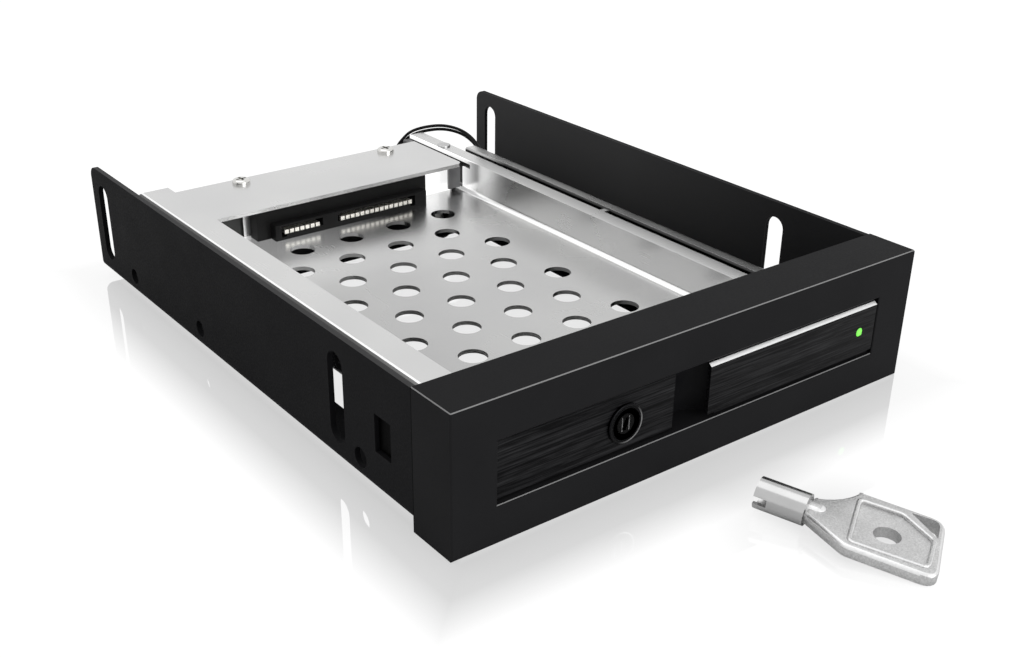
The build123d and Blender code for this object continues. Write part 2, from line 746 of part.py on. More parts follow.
# Ejector carriage: slides on the guide post and pushes the drive's rear edge with its finger
with BuildPart() as eject_carriage:
    finger_right = carriage_left + finger_web
    finger_z = (finger_bottom, carriage_top)
    slab((carriage_left, carriage_right), (carriage_front, carriage_rear),
         (carriage_bottom, carriage_top))
    slab((carriage_left, finger_right), (finger_front, carriage_rear), finger_z)
    slab((finger_right - finger_width, finger_right), (finger_front, finger_front + carriage_sheet),
         finger_z)
    slab((rod_span[1], carriage_right), carriage_flange, (carriage_flange_bottom, carriage_top))
    slot_half = post_shoulder_radius + running_gap
    slot_end = running_gap + slot_half
    with BuildSketch(Plane.XY.offset(carriage_bottom)) as carriage_slot:
        with Locations((post_x, post_y + eject_travel / 2)):
            SlotOverall(eject_travel + 2 * slot_end, 2 * slot_half, rotation=90)
    extrude(amount=carriage_sheet, mode=Mode.SUBTRACT)
    for place in carriage_rivet_places:
        crossways((place, carriage_rivet_height), rivet_radius + rivet_gap,
                  (rod_span[1], carriage_right), Mode.SUBTRACT)
finish(eject_carriage, "eject_carriage")

# Rivets that join the carriage's flange to the rod
with BuildPart() as carriage_rivets:
    for place in carriage_rivet_places:
        centre = (place, carriage_rivet_height)
        crossways(centre, rivet_radius, (rod_span[0], carriage_right))
        crossways(centre, rivet_head_radius, (carriage_right, carriage_right + rivet_head_height))
finish(carriage_rivets, "carriage_rivets")

# Guide post: stands on the rail, its shoulder passes through the carriage's slot and the strip
with BuildPart() as guide_post:
    post = (post_x, post_y)
    shoulder_bottom = carriage_bottom - running_gap
    upright(post, post_radius, (floor_bottom, shoulder_bottom))
    upright(post, post_shoulder_radius, (shoulder_bottom, tray_top))
    upright(post, post_head_radius, (tray_top, tray_top + post_head_height))
    fillet(guide_post.edges().group_by(Axis.Z)[-1], radius=post_head_height / 2)
finish(guide_post, "guide_post")

# Round standoffs between the bracket and the tray's floor
with BuildPart() as tray_standoffs:
    for place in standoff_places:
        upright(place, standoff_radius, (base_top, floor_bottom))
        upright(place, screw_radius, (base_top, base_top + screw_hole_depth), Mode.SUBTRACT)
finish(tray_standoffs, "tray_standoffs")

# Hexagon posts that carry the tray's bridge
with BuildPart() as bridge_posts:
    with BuildSketch(Plane.XY.offset(base_top)) as hexagons:
        with Locations(*bridge_post_places):
            RegularPolygon(standoff_radius, 6)
            Circle(screw_radius, mode=Mode.SUBTRACT)
    extrude(amount=under_top - base_top)
finish(bridge_posts, "bridge_posts")

def cross_recess(place, head_radius, z_span):
    """A cross in a screw's head for the screwdriver."""
    reach = recess_share * head_radius
    for long_x, long_y in ((reach, recess_width / 2), (recess_width / 2, reach)):
        slab((place[0] - long_x, place[0] + long_x), (place[1] - long_y, place[1] + long_y),
             z_span, Mode.SUBTRACT)


# Screws from below, their heads level with the bezel's underside
with BuildPart() as base_screws:
    for place in standoff_places + bridge_post_places:
        upright(place, screw_head_radius, (0, bracket_bottom))
        upright(place, screw_radius - screw_gap,
                (bracket_bottom, base_top + screw_hole_depth - screw_tip_gap))
    fillet(base_screws.edges().group_by(Axis.Z)[0], radius=0.6)
    for place in standoff_places + bridge_post_places:
        cross_recess(place, screw_head_radius, (0, recess_depth))
finish(base_screws, "base_screws")

# Screws on top of the bridge
with BuildPart() as bridge_screws:
    for place in bridge_post_places:
        upright(place, bridge_screw_head_radius, (tray_top, tray_top + bridge_screw_head_height))
        upright(place, screw_radius - screw_gap, (under_top - screw_hole_depth, tray_top))
    fillet(bridge_screws.edges().group_by(Axis.Z)[-1], radius=0.7)
    head_top = tray_top + bridge_screw_head_height
    for place in bridge_post_places:
        cross_recess(place, bridge_screw_head_radius, (head_top - recess_depth, head_top))
finish(bridge_screws, "bridge_screws")

# Backplane: the board behind the tray's back plate
with BuildPart() as backplane_board:
    slab((board_left, board_right), (board_front, board_rear), (board_bottom, board_top))
    for place in board_screw_places:
        lengthways(place, board_screw_radius, (board_front, board_rear), Mode.SUBTRACT)
finish(backplane_board, "backplane_board")

# Screws that hold the board to the tray
with BuildPart() as board_screws:
    for place in board_screw_places:
        lengthways(place, board_screw_radius - screw_gap,
                   (back_plate_span[0] + board_screw_skin + screw_gap, board_rear))
        lengthways(place, board_screw_head_radius, (board_rear, board_rear + board_screw_head_height))
    fillet(board_screws.edges().group_by(Axis.Y)[-1], radius=0.5)
finish(board_screws, "board_screws")

def screw_relief(rear):
    """Room round the board's screws, for a socket that comes near them."""
    for place in board_screw_places:
        lengthways(place, board_screw_head_radius + screw_gap, (nose_front, rear), Mode.SUBTRACT)


# Drive socket: a body behind the bay and a nose with the signal slot and the power slot
signal_slot = (
    signal_contacts_left - slot_margin,
    signal_contacts_left + (signal_count - 1) * contact_pitch + slot_margin,
)
power_slot = (
    power_contacts_left - slot_margin,
    power_contacts_left + (power_count - 1) * contact_pitch + slot_margin,
)
with BuildPart() as drive_socket:
    slab((socket_left, socket_right), (socket_front, board_front), (floor_top, socket_top))
    slab((nose_left, nose_right), (nose_front, socket_front), (floor_top, nose_top))
    slot_depth = (nose_front, slot_rear)
    slab(signal_slot, slot_depth, (slot_bottom, slot_top), Mode.SUBTRACT)
    slab(power_slot, slot_depth, (slot_bottom, slot_top), Mode.SUBTRACT)
    key_heights = (slot_bottom - slot_key_drop, slot_bottom)
    slab((signal_slot[0], signal_slot[0] + slot_key_width), slot_depth, key_heights, Mode.SUBTRACT)
    slab((power_slot[1] - slot_key_width, power_slot[1]), slot_depth, key_heights, Mode.SUBTRACT)
    screw_relief(board_front)
finish(drive_socket, "drive_socket")


def contact_row(first, count):
    """A row of flat contacts on the lower side of a slot."""
    for index in range(count):
        centre = first + index * contact_pitch
        slab((centre - contact_width / 2, centre + contact_width / 2),
             (nose_front + contact_setback, slot_rear), (slot_bottom, slot_bottom + contact_height))


with BuildPart() as signal_contacts:
    contact_row(signal_contacts_left, signal_count)
finish(signal_contacts, "signal_contacts")

with BuildPart() as power_contacts:
    contact_row(power_contacts_left, power_count)
finish(power_contacts, "power_contacts")


# Cable sockets on the back of the board
def cable_socket(span):
    """A shroud with a tongue across it, its end hooked down."""
    shroud_rear = board_rear + rear_socket_depth
    bottom, top = cable_socket_heights
    slab(span, (board_rear, shroud_rear), cable_socket_heights)
    slab((span[0] + shroud_wall, span[1] - shroud_wall), (board_rear + shroud_wall, shroud_rear),
         (bottom + shroud_wall, top - shroud_wall), Mode.SUBTRACT)
    tongue_left = span[0] + shroud_wall + tongue_margin
    tongue_right = span[1] - shroud_wall - tongue_margin
    tongue_depth = (board_rear + shroud_wall, shroud_rear - tongue_end / 2)
    level = middle(cable_socket_heights)
    slab((tongue_left, tongue_right), tongue_depth, (level - tongue_half, level + tongue_half))
    slab((tongue_left, tongue_left + tongue_end), tongue_depth,
         (level - 2 * tongue_half, level - tongue_half))
    screw_relief(board_rear + board_screw_head_height + screw_gap)


with BuildPart() as data_socket:
    cable_socket(data_socket_span)
finish(data_socket, "data_socket")

with BuildPart() as power_socket:
    cable_socket(power_socket_span)
finish(power_socket, "power_socket")

# Plug of the lamp's leads
with BuildPart() as lead_plug:
    slab(lead_plug_span, (board_rear, board_rear + lead_plug_length), lead_plug_heights)
    fillet(lead_plug.edges().filter_by(Axis.Y), radius=0.3)
finish(lead_plug, "lead_plug")

# Route of the lower lead, its X counted from the bay's right side:
# plug, loop behind the bridge, beside the rail, lamp
lead_route = (
    (-8.9, 116.0, 5.7), (-8.8, 119.6, 6.0), (-7.7, 124.6, 7.2), (-5.3, 129.0, 9.4),
    (-2.4, 131.3, 12.0), (-0.1, 131.7, 13.6), (1.8, 131.7, 14.8), (5.4, 131.2, 15.45),
    (9.75, 129.0, 15.8), (12.4, 125.0, 15.2), (12.55, 120.0, 14.2), (11.4, 115.0, 12.6),
    (10.3, 109.0, 9.4), (9.9, 100.0, 6.2), (9.8, 84.0, 4.6), (10.0, 54.0, 4.5),
    (9.8, 30.0, 4.8), (9.6, 18.0, 6.0), (8.8, 12.6, 8.2), (7.8, 9.2, 10.3),
    (6.8, 6.9, 11.4), (6.5, 4.66, 11.75),
)


def bend_radii(points):
    """The radius at each corner, as large as its shorter run leaves room for."""
    radii = []
    for before, corner, after in zip(points[:-2], points[1:-1], points[2:]):
        arriving = Vector(*corner) - Vector(*before)
        leaving = Vector(*after) - Vector(*corner)
        half_turn = radians(arriving.get_angle(leaving)) / 2
        radii.append(0.45 * min(arriving.length, leaving.length) / tan(half_turn))
    return radii


def lead(name, step):
    """A round lead along the route, moved sideways by a step."""
    start = Vector(bay_right, 0, 0) + Vector(*step)
    points = [Vector(*point) + start for point in lead_route]
    with BuildPart() as builder:
        with BuildLine() as path:
            FilletPolyline(*points, radius=bend_radii(lead_route))
        route = path.wires()[0]
        with BuildSketch(Plane(origin=route @ 0, z_dir=route % 0)):
            Circle(lead_diameter / 2)
        sweep(path=route)
    finish(builder, name)
    expected = route.length * pi * (lead_diameter / 2) ** 2
    print(name, "length", round(route.length, 1), "volume", round(builder.part.volume, 2),
          "expected", round(expected, 2))
    return builder


lamp_lead_a = lead("lamp_lead_a", (0.0, 0.0, 0.0))
lamp_lead_b = lead("lamp_lead_b", lead_step)
print("bend radii", [round(radius, 1) for radius in bend_radii(lead_route)])

# Key: a tubular barrel with a notch at its tip, and a flat bow on the barrel's axis with a round boss
key_reach = bow_far_lower[0][0] - barrel_length
key_tilt = atan((barrel_radius - bow_thickness / 2) / key_reach)
key_height = barrel_radius * cos(key_tilt) + barrel_length * sin(key_tilt) + running_gap / 5
key_along = Vector(cos(key_tilt), 0, -sin(key_tilt)).rotate(Axis.Z, key_turn)
key_up = Vector(sin(key_tilt), 0, cos(key_tilt)).rotate(Axis.Z, key_turn)
key_plane = Plane(origin=(*key_tip, key_height), x_dir=key_along, z_dir=key_up)
barrel_plane = Plane(origin=(*key_tip, key_height), x_dir=key_up, z_dir=key_along)
with BuildPart() as key_barrel:
    with BuildSketch(barrel_plane):
        Circle(barrel_radius)
    extrude(amount=barrel_length)
    with BuildSketch(barrel_plane):
        Circle(barrel_bore)
    extrude(amount=barrel_bore_depth, mode=Mode.SUBTRACT)
    with BuildSketch(barrel_plane):
        with Locations((0, barrel_radius)):
            Rectangle(notch_width, barrel_radius)
    extrude(amount=notch_length, mode=Mode.SUBTRACT)
finish(key_barrel, "key_barrel")

with BuildPart() as key_bow:
    with BuildSketch(key_plane.offset(-bow_thickness / 2)):
        with BuildLine():
            ThreePointArc(bow_upper_neck, bow_upper_waist, bow_upper_shoulder)
            Polyline(bow_upper_shoulder, *bow_far_upper, *bow_far_lower,
                     bow_lower_shoulder, bow_lower_neck, bow_upper_neck)
        make_face()
    extrude(amount=bow_thickness)
    bow_faces = key_bow.faces().filter_by(key_plane)
    top_face = max(bow_faces, key=lambda face: face.center().Z)
    foot_face = min(bow_faces, key=lambda face: face.center().Z)
    chamfer(top_face.edges(), length=bow_bevel)
    chamfer(foot_face.edges(), length=bow_foot_bevel)
    with BuildSketch(key_plane.offset(-bow_thickness)):
        with Locations(bow_hole_place):
            Circle(bow_hole_radius)
        with BuildLine():
            Polyline(*bow_window, close=True)
        make_face()
    extrude(amount=2 * bow_thickness, mode=Mode.SUBTRACT)
    with BuildSketch(key_plane.offset(bow_thickness / 2 - bow_panel_depth)):
        with BuildLine():
            Polyline(*bow_panel, close=True)
        make_face()
    extrude(amount=bow_panel_depth, mode=Mode.SUBTRACT)
    boss_plane = Plane(origin=key_plane.from_local_coords((barrel_length, 0, 0)),
                       x_dir=key_up, z_dir=key_along)
    with BuildSketch(boss_plane):
        Circle(boss_radius)
    extrude(amount=boss_length)
finish(key_bow, "key_bow")
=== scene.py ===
import json
import math

import bmesh
import bpy
from mathutils import Matrix, Vector


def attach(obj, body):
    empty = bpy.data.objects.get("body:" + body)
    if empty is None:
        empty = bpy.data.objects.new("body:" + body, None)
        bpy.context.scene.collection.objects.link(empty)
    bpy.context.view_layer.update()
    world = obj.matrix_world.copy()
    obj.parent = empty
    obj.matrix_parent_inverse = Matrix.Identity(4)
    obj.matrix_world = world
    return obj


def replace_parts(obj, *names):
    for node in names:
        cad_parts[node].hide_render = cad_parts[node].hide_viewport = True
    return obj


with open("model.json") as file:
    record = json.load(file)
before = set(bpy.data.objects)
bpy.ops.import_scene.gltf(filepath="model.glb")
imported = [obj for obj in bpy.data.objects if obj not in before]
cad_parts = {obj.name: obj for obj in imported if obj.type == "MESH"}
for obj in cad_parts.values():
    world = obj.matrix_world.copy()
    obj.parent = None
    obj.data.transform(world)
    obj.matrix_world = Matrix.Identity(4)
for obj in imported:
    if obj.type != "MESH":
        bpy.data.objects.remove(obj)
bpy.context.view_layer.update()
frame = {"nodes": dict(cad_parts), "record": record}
nodes = frame["nodes"]
# One millimetre in metres, and one metre in millimetres
MM = 0.001
METRE = 1000


def mm(*lengths):
    """A point given in millimetres, in metres."""
    return Vector(lengths) * MM


def grey(level):
    """A neutral colour."""
    return (level, level, level)


def link(item):
    """Puts an object into the scene."""
    bpy.context.scene.collection.objects.link(item)


# Camera: on a tripod in front and to the left, its lens a little longer than normal
CAMERA_PLACE = (-139.72, -133.35, 113.28)
CAMERA_YAW = math.radians(36.631)
CAMERA_PITCH = math.radians(27.453)
CAMERA_ROLL = math.radians(0.279)
CAMERA_SENSOR = 36
CAMERA_LENS = 46.38
CAMERA_SHIFT = (0.0175, 0.039)
CAMERA_CLIP = (0.005, 20)


def place_camera():
    """Puts the camera where the photographer stood."""
    data = bpy.data.cameras.new("camera")
    data.sensor_width = CAMERA_SENSOR
    data.lens = CAMERA_LENS
    data.shift_x, data.shift_y = CAMERA_SHIFT
    data.clip_start, data.clip_end = CAMERA_CLIP
    camera = bpy.data.objects.new("camera", data)
    camera.location = mm(*CAMERA_PLACE)
    turn = (
        Matrix.Rotation(-CAMERA_YAW, 4, "Z")
        @ Matrix.Rotation(math.pi / 2 - CAMERA_PITCH, 4, "X")
        @ Matrix.Rotation(CAMERA_ROLL, 4, "Z")
    )
    camera.rotation_euler = turn.to_euler()
    link(camera)
    bpy.context.scene.camera = camera


class Value:
    """A number inside a network; arithmetic on it adds Math nodes."""

    def __init__(self, network, socket):
        self.network = network
        self.socket = socket

    def maths(self, operation, *values):
        """One Math node, its inputs in their order."""
        inputs = dict(enumerate(values))
        node = self.network.node("ShaderNodeMath", {"operation": operation}, inputs)
        return Value(self.network, node.outputs[0])

    def __add__(self, other):
        return self.maths("ADD", self, other)

    def __radd__(self, other):
        return self.maths("ADD", other, self)

    def __sub__(self, other):
        return self.maths("SUBTRACT", self, other)

    def __rsub__(self, other):
        return self.maths("SUBTRACT", other, self)

    def __mul__(self, other):
        return self.maths("MULTIPLY", self, other)

    def __rmul__(self, other):
        return self.maths("MULTIPLY", other, self)

    def __gt__(self, other):
        return self.maths("GREATER_THAN", self, other)

    def __lt__(self, other):
        return self.maths("LESS_THAN", self, other)

    def __abs__(self):
        return self.maths("ABSOLUTE", self)

    def highest(self, other):
        """The greater of two values."""
        return self.maths("MAXIMUM", self, other)

    def root(self):
        """The square root."""
        return self.maths("SQRT", self)


class Network:
    """A node tree, and the ways to add to it."""

    def __init__(self, tree):
        self.tree = tree

    def node(self, kind, settings=None, inputs=None):
        """Any node: its settings first, then the values or links of its sockets."""
        made = self.tree.nodes.new(kind)
        for name, value in (settings or {}).items():
            setattr(made, name, value)
        for key, value in (inputs or {}).items():
            self.feed(made.inputs[key], value)
        return made

    def feed(self, socket, value):
        """Gives a socket a value, or links one to it."""
        if isinstance(value, Value):
            self.tree.links.new(value.socket, socket)
        elif isinstance(value, bpy.types.NodeSocket):
            self.tree.links.new(value, socket)
        elif socket.type == "RGBA":
            socket.default_value = (*value[:3], 1)
        else:
            socket.default_value = value

    def span(self, value, source, target):
        """Maps one range of values to another, held at both ends."""
        inputs = dict(enumerate((value, *source, *target)))
        made = self.node("ShaderNodeMapRange", {"clamp": True}, inputs)
        return Value(self, made.outputs[0])


class Finish(Network):
    """A procedural material: one Principled shader and the nodes that feed it."""

    def __init__(self, name, **settings):
        self.material = bpy.data.materials.new(name)
        self.material.use_nodes = True
        super().__init__(self.material.node_tree)
        self.shader = self.tree.nodes["Principled BSDF"]
        self.output = self.tree.nodes["Material Output"]
        self.set(**settings)

    def set(self, **settings):
        """Sets the shader's sockets, named in lower case with low lines."""
        words = {"specular": "Specular IOR Level"}
        for name, value in settings.items():
            socket = words.get(name, name.replace("_", " ").title())
            self.feed(self.shader.inputs[socket], value)
        return self

    def place(self, scale=(1, 1, 1), centre=(0, 0, 0)):
        """The object's own coordinates, stretched and centred."""
        found = self.node("ShaderNodeTexCoord").outputs["Object"]
        moved = self.node(
            "ShaderNodeVectorMath", {"operation": "SUBTRACT"}, {0: found, 1: mm(*centre)}
        )
        mapped = self.node(
            "ShaderNodeMapping",
            {"vector_type": "POINT"},
            {"Vector": moved.outputs[0], "Scale": scale},
        )
        return mapped.outputs[0]

    def numbers(self, vector):
        """The three numbers of a vector."""
        parts = self.node("ShaderNodeSeparateXYZ", inputs={0: vector})
        return [Value(self, socket) for socket in parts.outputs]

    def axes(self, centre=(0, 0, 0)):
        """The object's own coordinates as three numbers, in millimetres."""
        return [number * METRE for number in self.numbers(self.place(centre=centre))]

    def noise(self, grain, detail=2, rough=0.5, scale=(1, 1, 1)):
        """Cloudy noise with grains of a size in millimetres."""
        made = self.node(
            "ShaderNodeTexNoise",
            {"noise_dimensions": "3D"},
            {
                "Vector": self.place(scale=scale),
                "Scale": METRE / grain,
                "Detail": detail,
                "Roughness": rough,
            },
        )
        return Value(self, made.outputs[0])

    def between(self, value, limits):
        """1 where a value lies between two limits, else 0."""
        return (value > limits[0]) * (value < limits[1])

    def blend(self, factor, first, second):
        """A colour between two colours."""
        made = self.node("ShaderNodeMix", {"data_type": "RGBA"}, {0: factor, 6: first, 7: second})
        return made.outputs[2]

    def facing(self):
        """The way a face looks, as three numbers on the object's own axes."""
        own = self.node(
            "ShaderNodeVectorTransform",
            {"vector_type": "NORMAL", "convert_from": "WORLD", "convert_to": "OBJECT"},
            {0: self.node("ShaderNodeNewGeometry").outputs["True Normal"]},
        )
        return self.numbers(own.outputs[0])

    def off_centre(self, centre, along_y=False):
        """Distance from an upright line through a centre, or from one that runs along Y."""
        x, y, z = self.axes(centre)
        across = z if along_y else y
        return (x * x + across * across).root()

    def bevels(self):
        """1 on faces that lean upwards between the object's own axes, else 0."""
        x, y, z = self.facing()
        straightest = abs(x).highest(abs(y)).highest(abs(z))
        return self.span(straightest, (0.8, 0.93), (1, 0)) * (z > 0.3)

    def bump(self, height, depth):
        """Raises the surface by a height from 0 to 1 times a depth in millimetres."""
        made = self.node(
            "ShaderNodeBump", inputs={"Height": height, "Distance": depth * MM, "Strength": 1.0}
        )
        self.feed(self.shader.inputs["Normal"], made.outputs[0])
        return self


# Bracket: the inside of its right plate, where light is painted, and the upper edge of its left plate,
# where a highlight is painted
RIGHT_PLATE_INSIDE = (49.2, 49.5)
LEFT_PLATE = -45
PLATE_EDGE_HEIGHT = 18
LOOKS_UP = 0.9


def powder_coat():
    """Black powder coat: a finely pebbled skin, darker towards the back with painted shade, paler
    inside the right plate with painted light, and a painted highlight on the left's edge.
    """
    finish = Finish("black_powder_coat", specular=0.03)
    x, y, z = finish.axes()
    pebbles = finish.noise(grain=0.35, detail=3)
    cloud = finish.noise(grain=9, detail=3)
    # Painted shade: lighter at the front and darker towards the back, with a random cloudy tone
    shade_and_tone = finish.span(y, (5, 130), (0.75, 0.05)) + cloud * 0.25
    black = finish.blend(shade_and_tone, (0.003, 0.003, 0.0035), (0.011, 0.011, 0.012))
    # Painted light: the inside of the right plate paler, more so towards the back
    lit_inside = finish.between(x, RIGHT_PLATE_INSIDE) * finish.span(y, (20, 70), (0.25, 1))
    # Painted highlight: the upward top edge of the left plate paler
    edge = (x < LEFT_PLATE) * (z > PLATE_EDGE_HEIGHT) * (finish.facing()[2] > LOOKS_UP)
    finish.set(
        base_color=finish.blend(lit_inside.highest(edge), black, (0.055, 0.055, 0.056)),
        roughness=finish.span(pebbles + cloud * 0.5, (0.5, 1), (0.42, 0.6)),
    )
    return finish.bump(pebbles, depth=0.02)


# Bezel: its side, the seam on it and its back, where shade is painted, and its top edge and the lower
# edge of its opening, where highlights are painted
BEZEL_SIDE = 50.7
BEZEL_SEAM = 4.8
BEZEL_BACK = 5.1
BEZEL_TOP = 24.86
OPENING_EDGE = (6.68, 7)


def moulded_black():
    """Black moulded plastic with a very fine grain, painted highlights on its edges, and painted shade
    on its back and in the seam on its side.
    """
    finish = Finish("moulded_black", specular=0.02)
    grain = finish.noise(grain=0.22, detail=3)
    cloud = finish.noise(grain=14)
    x, y, z = finish.axes()
    black = finish.blend(cloud, (0.014, 0.014, 0.015), (0.019, 0.019, 0.02))
    # Painted shade: the seam on the bezel's side and the back nearly black
    seam_shade = (y > BEZEL_SEAM) * (abs(x) > BEZEL_SIDE)
    shade = finish.blend((y > BEZEL_BACK).highest(seam_shade), black, grey(0.0005))
    # Painted highlights: the top edges and the lower edge of the opening paler
    edges = finish.bevels() * (z > BEZEL_TOP).highest(finish.between(z, OPENING_EDGE))
    finish.set(
        base_color=finish.blend(edges, shade, grey(0.28)),
        roughness=finish.span(grain, (0.3, 0.7), (0.38, 0.52)),
    )
    return finish.bump(grain, depth=0.012)


def brushed_black():
    """Black anodised plate, brushed from left to right, its cut edge bare metal and painted pale as a
    highlight.
    """
    finish = Finish("brushed_black", specular=0.12)
    long_lines = finish.noise(grain=0.35, detail=4, rough=0.7, scale=(0.012, 1, 1))
    short_lines = finish.noise(grain=0.16, detail=3, rough=0.6, scale=(0.03, 1, 1))
    lines = long_lines * 0.6 + short_lines * 0.4
    bright = finish.span(lines, (0.45, 0.64), (0, 1))
    black = finish.blend(bright, (0.0005, 0.0005, 0.001), (0.034, 0.034, 0.036))
    # The cut edge: bare metal, and a painted highlight
    edge = finish.bevels()
    finish.set(
        base_color=finish.blend(edge, black, grey(0.9)),
        metallic=finish.span(edge, (0, 1), (0.5, 1)),
        roughness=finish.span(lines, (0.35, 0.65), (0.28, 0.5)),
    )
    return finish.bump(lines, depth=0.02)


# Tray: where light and shade are painted on its sheet, across, along and up
LIP_BEND = (-39.75, -39.3)
LIP_BEND_HEIGHT = 14
LIP_SIDE_HEIGHT = 12.5
WALL_INSIDE = (30.9, 31.4)
WALL_FOOT = 9
WALL_REAR = (101, 106.5)
FLOOR_BEND = (28.9, 31.3)
FLOOR_BEND_HEIGHT = 10.4
FLOOR_HEIGHT = 8.6
HEM_SIDE = (36.3, 36.95)
HEM_ROLL = (38.3, 39.5)
HEM_HEIGHT = 14.8
BACK_ACROSS = (19.8, 28.6)
BACK_ALONG = (108.2, 109.1)
BACK_UP = (8.1, 14.9)


def sheet_steel():
    """Zinc-coated sheet steel: satin, with faint rolling lines; painted reflections and highlights on
    its bends and wall, painted shade on its hem and floor, and painted light glowing at its back, wall
    end, floor bend and rear floor.
    """
    finish = Finish("sheet_steel", metallic=1.0, emission_strength=1.0)
    x, y, z = finish.axes()
    side, back, up = finish.facing()
    clouds = finish.noise(grain=26)
    rolling = finish.noise(grain=0.3, detail=3, rough=0.6, scale=(1, 0.02, 1))
    steel = finish.blend(finish.span(clouds, (0.35, 0.65), (0, 1)), grey(0.6), (0.65, 0.65, 0.645))

    # Painted reflection: a bright line along the lip's bend, and its outer side dark
    lip_bend_highlight = finish.between(x, LIP_BEND) * (z > LIP_BEND_HEIGHT)
    lip_side_dark_reflection = (x < LIP_BEND[0]) * (z > LIP_SIDE_HEIGHT) * finish.span(y, (5, 40), (0.8, 1))
    # Painted highlight on the inside of the wall, paler
    lit_wall = finish.between(x, WALL_INSIDE) * (z > WALL_FOOT)
    steel = finish.blend(lip_bend_highlight, steel, grey(0.95))
    steel = finish.blend(lip_side_dark_reflection, steel, grey(0.09))
    steel = finish.blend(lit_wall * 0.35, steel, grey(0.95))

    on_hem = z > HEM_HEIGHT
    on_floor = z < FLOOR_HEIGHT
    # Painted shade: the hem's side, its roll and the floor's left part dark
    hem_side_shade = finish.between(x, HEM_SIDE) * on_hem * finish.span(y, (98, 106), (0.97, 0.3))
    hem_roll_shade = finish.span(x, HEM_ROLL, (0, 0.5)) * on_hem
    floor_shade = finish.span(x, (-38, 0), (0.32, 0.15)) * finish.span(y, (70, 95), (1, 0)) * on_floor
    painted_shade = hem_side_shade.highest(hem_roll_shade).highest(floor_shade)

    # Painted light: the back, the wall's rear end, the floor's bend and the rear floor
    lit_back = (
        finish.between(x, BACK_ACROSS) * finish.between(y, BACK_ALONG) * finish.between(z, BACK_UP)
    )
    lit_wall_end = lit_wall * finish.span(y, WALL_REAR, (0, 1))
    leaning = finish.span(side, (-0.3, -0.6), (0, 0.5)) * (up > 0.25)
    lit_floor_bend = finish.between(x, FLOOR_BEND) * (z < FLOOR_BEND_HEIGHT) * leaning
    lit_rear_floor = finish.span(y, (76, 98), (0, 0.27)) * finish.span(x, (8, -22), (0, 1)) * on_floor
    # Painted light: these places glow, though none is a lamp
    glow = lit_back.highest(lit_wall_end).highest(lit_floor_bend).highest(lit_rear_floor)
    finish.set(
        base_color=finish.blend(painted_shade, steel, grey(0.02)),
        roughness=finish.span(clouds + rolling * 0.1, (0.35, 0.75), (0.23, 0.29)),
        emission_color=finish.blend(glow, grey(0), grey(0.85)),
    )
    return finish.bump(rolling, depth=0.0004)


def turned_metal(name, low, high, rough, depth=0.004):
    """Plain or plated metal with fine marks."""
    finish = Finish(name, metallic=1.0)
    marks = finish.noise(grain=0.25, detail=3, rough=0.6)
    clouds = finish.noise(grain=3.5)
    finish.set(
        base_color=finish.blend(clouds, low, high),
        roughness=finish.span(marks, (0.3, 0.7), (rough * 0.8, rough * 1.3)),
    )
    return finish.bump(marks, depth)


# Lock: its centre, the radius and half width of the painted highlight on its rim, and the two sides of
# its key slot, where highlights are painted
LOCK_CENTRE = (-17.05, 0, 11.9)
LOCK_RIM_RADIUS = 3.2
LOCK_RIM_WIDTH = 0.12
LOCK_SLOT_SIDE = 0.72
LOCK_SLOT_LINE = 0.08
LOCK_SLOT_HEIGHT = 1.25


def lit_rim(finish):
    """Where a highlight is painted: the lower right of the lock's turned rim."""
    x, y, z = finish.axes(LOCK_CENTRE)
    radius = finish.off_centre(LOCK_CENTRE, along_y=True)
    ring = abs(radius - LOCK_RIM_RADIUS) < LOCK_RIM_WIDTH
    return finish.span(x - z * 0.7, (0.6, 3.2), (0.02, 1)) * ring


def lit_slot(finish):
    """Where highlights are painted: both sides of the lock's key slot."""
    x, y, z = finish.axes(LOCK_CENTRE)
    line = abs(abs(x) - LOCK_SLOT_SIDE) < LOCK_SLOT_LINE
    return line * (abs(z) < LOCK_SLOT_HEIGHT)


def lock_metal(name, low, high, lit):
    """Black nickel, with highlights painted on the lines that catch the light."""
    finish = turned_metal(name, low, high, rough=0.25)
    return finish.set(base_color=finish.blend(lit(finish), low, grey(0.4)))


# Key: where its round hole and its corner window stand, and how far their walls reach, where a faint
# glow is painted
KEY_HOLE = (3.35, -40.18, 0)
KEY_HOLE_REACH = 2.6
KEY_WINDOW = (11.2, -42.3, 0)
KEY_WINDOW_REACH = 3.6


def cast_metal():
    """Die-cast zinc of the key's bow: a lively grain, painted highlights on its rounded edges and a
    painted glow on the walls of its hole and window.
    """
    finish = Finish("key_cast", metallic=0.9, emission_strength=1.0)
    grain = finish.noise(grain=0.3, detail=3, rough=0.7)
    clouds = finish.noise(grain=5)
    mottle = finish.span(grain * 0.7 + clouds * 0.3, (0.35, 0.65), (0, 1))
    cast = finish.blend(mottle, grey(0.46), grey(0.72))
    upright = abs(finish.facing()[2])
    # Painted highlight: the rounded edges paler
    edge = finish.between(upright, (0.3, 0.93))
    in_hole = finish.off_centre(KEY_HOLE) < KEY_HOLE_REACH
    in_window = finish.off_centre(KEY_WINDOW) < KEY_WINDOW_REACH
    # Painted light: the walls of the hole and the window glow faintly
    lit_hole_walls = in_hole.highest(in_window) * (upright < 0.5)
    finish.set(
        base_color=finish.blend(edge * 0.6, cast, grey(0.95)),
        emission_color=finish.blend(lit_hole_walls, grey(0), grey(0.045)),
        roughness=finish.span(grain, (0.3, 0.7), (0.3, 0.5)),
    )
    return finish.bump(grain, depth=0.05)


